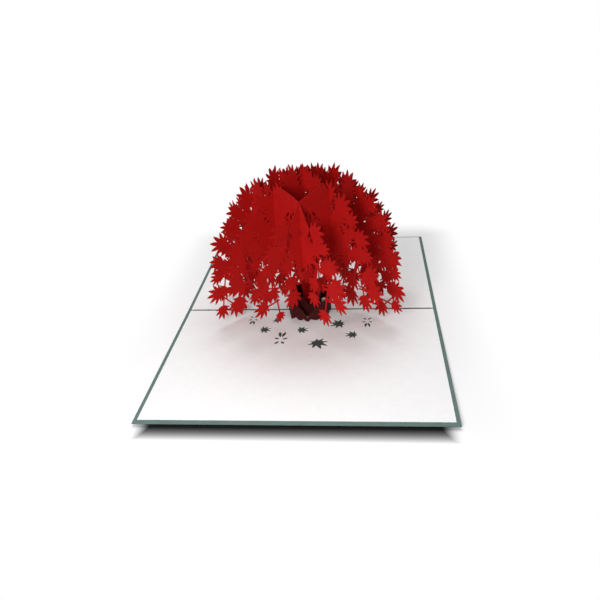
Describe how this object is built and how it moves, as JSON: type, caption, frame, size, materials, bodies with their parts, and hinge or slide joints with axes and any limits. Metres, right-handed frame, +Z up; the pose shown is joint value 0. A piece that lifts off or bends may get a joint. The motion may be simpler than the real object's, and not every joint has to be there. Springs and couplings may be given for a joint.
{
  "type": "pop-up card",
  "caption": "Open greeting card with a pop-up maple tree: slotted paper sheets with leaf-shaped edges form a dome on a folded trunk, over fallen leaves cut out of the front liner.",
  "frame": {"origin": "middle of the fold, at the underside of the card, on the surface it lies on", "axes": "+X along the fold to the right, +Y towards the back edge, +Z up through the tree"},
  "size_m": [0.2, 0.3, 0.1204],
  "materials": {
    "cover_card": "matte",
    "liner_paper": "matte",
    "crown_paper": "matte",
    "trunk_paper": "matte"
  },
  "bodies": {
    "root": {"cover": "cover_card", "liner_front": "liner_paper", "liner_back": "liner_paper", "trunk_outer_sleeve": "trunk_paper", "trunk_inner_sleeve": "trunk_paper", "crown_a_front": "crown_paper", "crown_a_middle": "crown_paper", "crown_a_back": "crown_paper", "crown_b_front": "crown_paper", "crown_b_middle": "crown_paper", "crown_b_back": "crown_paper"}
  },
  "joints": []
}
